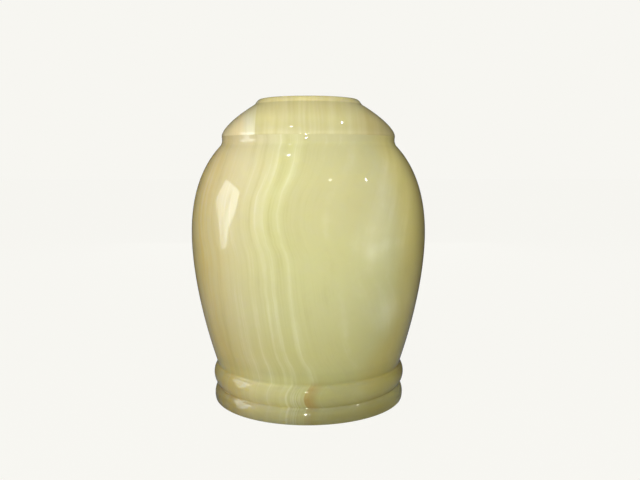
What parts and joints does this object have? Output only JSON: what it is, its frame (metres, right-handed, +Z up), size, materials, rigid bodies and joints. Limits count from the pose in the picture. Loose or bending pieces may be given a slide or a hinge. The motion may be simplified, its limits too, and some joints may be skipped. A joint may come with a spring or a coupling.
{
  "type": "onyx urn",
  "caption": "Turned onyx cremation urn: a hollow bellied vessel on a ringed foot, closed by a shallow domed lid with a flat lipped top that lifts off.",
  "frame": {"origin": "centre of the underside, on the axis of turning", "axes": "+Z up along the axis of turning, -Y towards the viewer of the picture, +X to the viewer's right"},
  "size_m": [0.178, 0.178, 0.2279],
  "materials": {
    "body_onyx": "pale green banded onyx, translucent, polished to a gloss",
    "lid_onyx": "paler green-gold banded onyx, translucent, polished to a gloss"
  },
  "bodies": {
    "root": {"urn_body": "body_onyx", "lid": "lid_onyx"}
  },
  "joints": []
}
